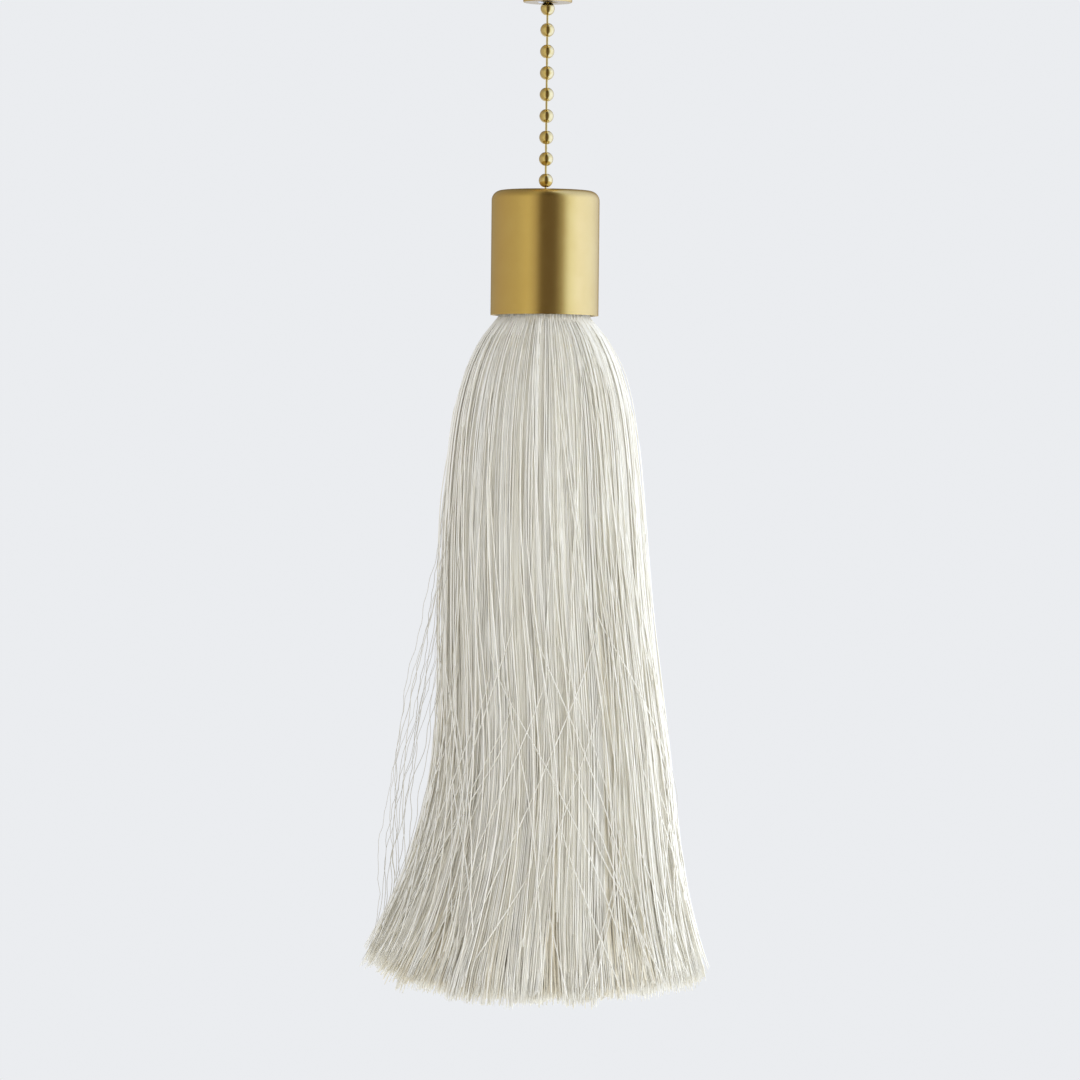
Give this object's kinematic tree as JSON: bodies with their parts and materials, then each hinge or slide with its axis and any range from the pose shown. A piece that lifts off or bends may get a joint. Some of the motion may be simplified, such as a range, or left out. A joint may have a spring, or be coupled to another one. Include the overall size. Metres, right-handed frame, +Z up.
{
  "type": "pull cord switch",
  "caption": "Hanging pull switch: round brass housing with a ratchet switch, ball chain, brass cap and a long ivory fibre tassel.",
  "frame": {"origin": "centre of the mouth of the threaded stem hole in the top cover", "axes": "+Z up along the stem hole and the hanging chain, +X to the right, +Y away from the viewer"},
  "size_m": [0.0812, 0.0812, 0.3013],
  "materials": {
    "housing_brass": "satin lacquered brass",
    "cap_brass": "satin brass with a fine turned grain",
    "chain_brass": "polished brass",
    "nickel_plate": "nickel plate",
    "spring_steel": "plain steel",
    "contact_bronze": "phosphor bronze",
    "terminal_brass": "machined brass",
    "phenolic": "brown phenolic moulding",
    "fibre_board": "insulating fibre sheet",
    "nylon": "natural nylon",
    "core_wood": "plain turned wood",
    "binding_thread": "waxed thread",
    "tassel_fibre": "fine ivory fibres"
  },
  "bodies": {
    "housing": {"top_cover": "housing_brass", "stem_set_screw": "spring_steel", "shell": "housing_brass", "cover_screws": "housing_brass", "insulating_liner": "fibre_board", "base_front": "phenolic", "base_rear": "phenolic", "base_screws": "nickel_plate", "outlet_bush": "housing_brass", "bell_mouth": "nickel_plate", "bush_nut": "nickel_plate", "return_spring": "spring_steel", "axle_pin": "nylon", "holding_spring": "spring_steel", "line_contact": "contact_bronze", "load_contact": "contact_bronze", "line_terminal": "terminal_brass", "load_terminal": "terminal_brass", "terminal_screws": "nickel_plate"},
    "pull": {"plunger": "chain_brass", "chain_anchor": "chain_brass", "inner_bead_1": "chain_brass", "inner_bead_2": "chain_brass", "inner_bead_3": "chain_brass", "inner_link_1": "chain_brass", "inner_link_2": "chain_brass", "inner_link_3": "chain_brass", "bead_1": "chain_brass"},
    "pinion": {"drive_pinion": "nylon", "drive_pawl": "spring_steel", "pawl_pin": "spring_steel", "pawl_spring": "spring_steel"},
    "rotor": {"ratchet_wheel": "spring_steel", "contact_rotor": "nylon", "contact_bridge": "contact_bronze"},
    "first_link": {"link_1": "chain_brass"},
    "upper_chain": {"bead_2": "chain_brass", "bead_3": "chain_brass", "bead_4": "chain_brass", "bead_5": "chain_brass", "link_2": "chain_brass", "link_3": "chain_brass", "link_4": "chain_brass"},
    "middle_link": {"link_5": "chain_brass"},
    "lower_chain": {"bead_6": "chain_brass", "bead_7": "chain_brass", "bead_8": "chain_brass", "bead_9": "chain_brass", "link_6": "chain_brass", "link_7": "chain_brass", "link_8": "chain_brass"},
    "last_link": {"link_9": "chain_brass"},
    "stop_bead": {"bead_10": "chain_brass"},
    "tassel": {"tassel_cap": "cap_brass", "swivel_washer": "nickel_plate", "tassel_core": "core_wood", "fibre_head": "tassel_fibre", "binding_cord": "binding_thread", "tassel_skirt": "tassel_fibre"}
  },
  "joints": [
    {"name": "chain_pull", "type": "slide", "parent": "housing", "child": "pull", "axis": [0, 0, -1], "range_m": [0, 0.008], "stiffness_N_per_m": 400, "springref_m": -0.00625, "deforming": ["return_spring"]},
    {"name": "pinion_turn", "type": "hinge", "parent": "housing", "child": "pinion", "pos_m": [0.00669, 0, -0.0303], "axis": [0, -1, 0], "range_deg": [0, 90]},
    {"name": "rotor_turn", "type": "hinge", "parent": "housing", "child": "rotor", "pos_m": [0.00669, 0, -0.0303], "axis": [0, -1, 0], "range_deg": [0, 90]},
    {"name": "chain_top_tilt", "type": "hinge", "parent": "pull", "child": "first_link", "pos_m": [0, 0, -0.06645], "axis": [1, 0, 0], "range_deg": [-25, 25]},
    {"name": "chain_top_swing", "type": "hinge", "parent": "first_link", "child": "upper_chain", "pos_m": [0, 0, -0.06961], "axis": [0, 1, 0], "range_deg": [-25, 25]},
    {"name": "chain_middle_tilt", "type": "hinge", "parent": "upper_chain", "child": "middle_link", "pos_m": [0, 0, -0.08711], "axis": [1, 0, 0], "range_deg": [-25, 25]},
    {"name": "chain_middle_swing", "type": "hinge", "parent": "middle_link", "child": "lower_chain", "pos_m": [0, 0, -0.09027], "axis": [0, 1, 0], "range_deg": [-25, 25]},
    {"name": "cap_tilt", "type": "hinge", "parent": "lower_chain", "child": "last_link", "pos_m": [0, 0, -0.10777], "axis": [1, 0, 0], "range_deg": [-25, 25]},
    {"name": "cap_swing", "type": "hinge", "parent": "last_link", "child": "stop_bead", "pos_m": [0, 0, -0.11094], "axis": [0, 1, 0], "range_deg": [-20, 20]},
    {"name": "tassel_spin", "type": "hinge", "parent": "stop_bead", "child": "tassel", "pos_m": [0, 0, -0.11194], "axis": [0, 0, 1], "continuous": true}
  ],
  "couplings": [
    {"joint": "pinion_turn", "follows": "chain_pull", "rad_per_m": 196.35},
    {"joint": "rotor_turn", "follows": "chain_pull", "rad_per_m": 196.35}
  ]
}
